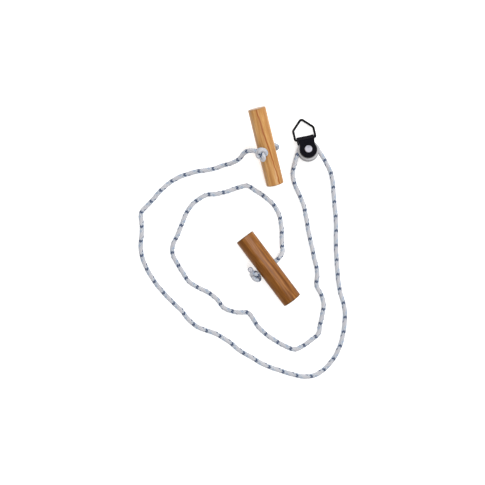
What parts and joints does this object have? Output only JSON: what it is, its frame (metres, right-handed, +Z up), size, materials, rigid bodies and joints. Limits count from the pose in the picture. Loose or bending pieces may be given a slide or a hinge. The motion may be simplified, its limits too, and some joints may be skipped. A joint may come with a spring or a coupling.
{
  "type": "hanging hand exercise pulley set",
  "caption": "Small strap pulley on a wire hanging ring, with one rope over its sheave and a wooden cross handle knotted on each end.",
  "frame": {"origin": "on the table, under the middle of the box round the pulley and the two handles as laid out", "axes": "+Z up from the table; +Y from the dark handle towards the pulley and the light handle; +X to the right of the layout"},
  "size_m": [0.3021, 0.3886, 0.0528],
  "materials": {
    "black_paint": "satin black",
    "black_wire": "gloss black",
    "white_nylon": "moulded, satin",
    "washer_nylon": "moulded, matt",
    "plated_steel": "zinc plated",
    "light_wood": "clear satin varnish over a honey-coloured dowel",
    "dark_wood": "gloss reddish-brown varnish",
    "braided_rope": "white braid with a dark blue tracer yarn"
  },
  "bodies": {
    "pulley_and_rope": {"strap": "black_paint", "axle_rivet": "plated_steel", "rivet_burr": "plated_steel", "axle_sleeve": "plated_steel", "thrust_washer_upper": "washer_nylon", "thrust_washer_lower": "washer_nylon", "rope": "braided_rope", "rope_in_handle_a": "braided_rope", "rope_in_handle_b": "braided_rope", "knot_a_inner": "braided_rope", "knot_a_outer": "braided_rope", "knot_b": "braided_rope", "rope_tip_a": "braided_rope", "rope_tip_b": "braided_rope"},
    "sheave_body": {"sheave": "white_nylon"},
    "ring_body": {"delta_ring": "black_wire"},
    "handle_a_body": {"handle_a": "light_wood"},
    "handle_b_body": {"handle_b": "dark_wood"}
  },
  "joints": [
    {"name": "sheave_spin", "type": "hinge", "parent": "pulley_and_rope", "child": "sheave_body", "pos_m": [0.0436, 0.0815, 0.01053], "axis": [-0.0428, 0.2101, 0.9767], "continuous": true},
    {"name": "ring_swing", "type": "hinge", "parent": "pulley_and_rope", "child": "ring_body", "pos_m": [0.03992, 0.09959, 0.00648], "axis": [0.9799, 0.1994, 0], "range_deg": [-140, 135]},
    {"name": "handle_a_swivel", "type": "hinge", "parent": "pulley_and_rope", "child": "handle_a_body", "pos_m": [-0.0161, 0.0798, 0.025], "axis": [-0.396, -0.3405, 0.8528], "range_deg": [-60, 60]},
    {"name": "handle_b_swivel", "type": "hinge", "parent": "pulley_and_rope", "child": "handle_b_body", "pos_m": [-0.015, -0.0854, 0.0142], "axis": [-0.7986, -0.6018, 0], "continuous": true}
  ]
}
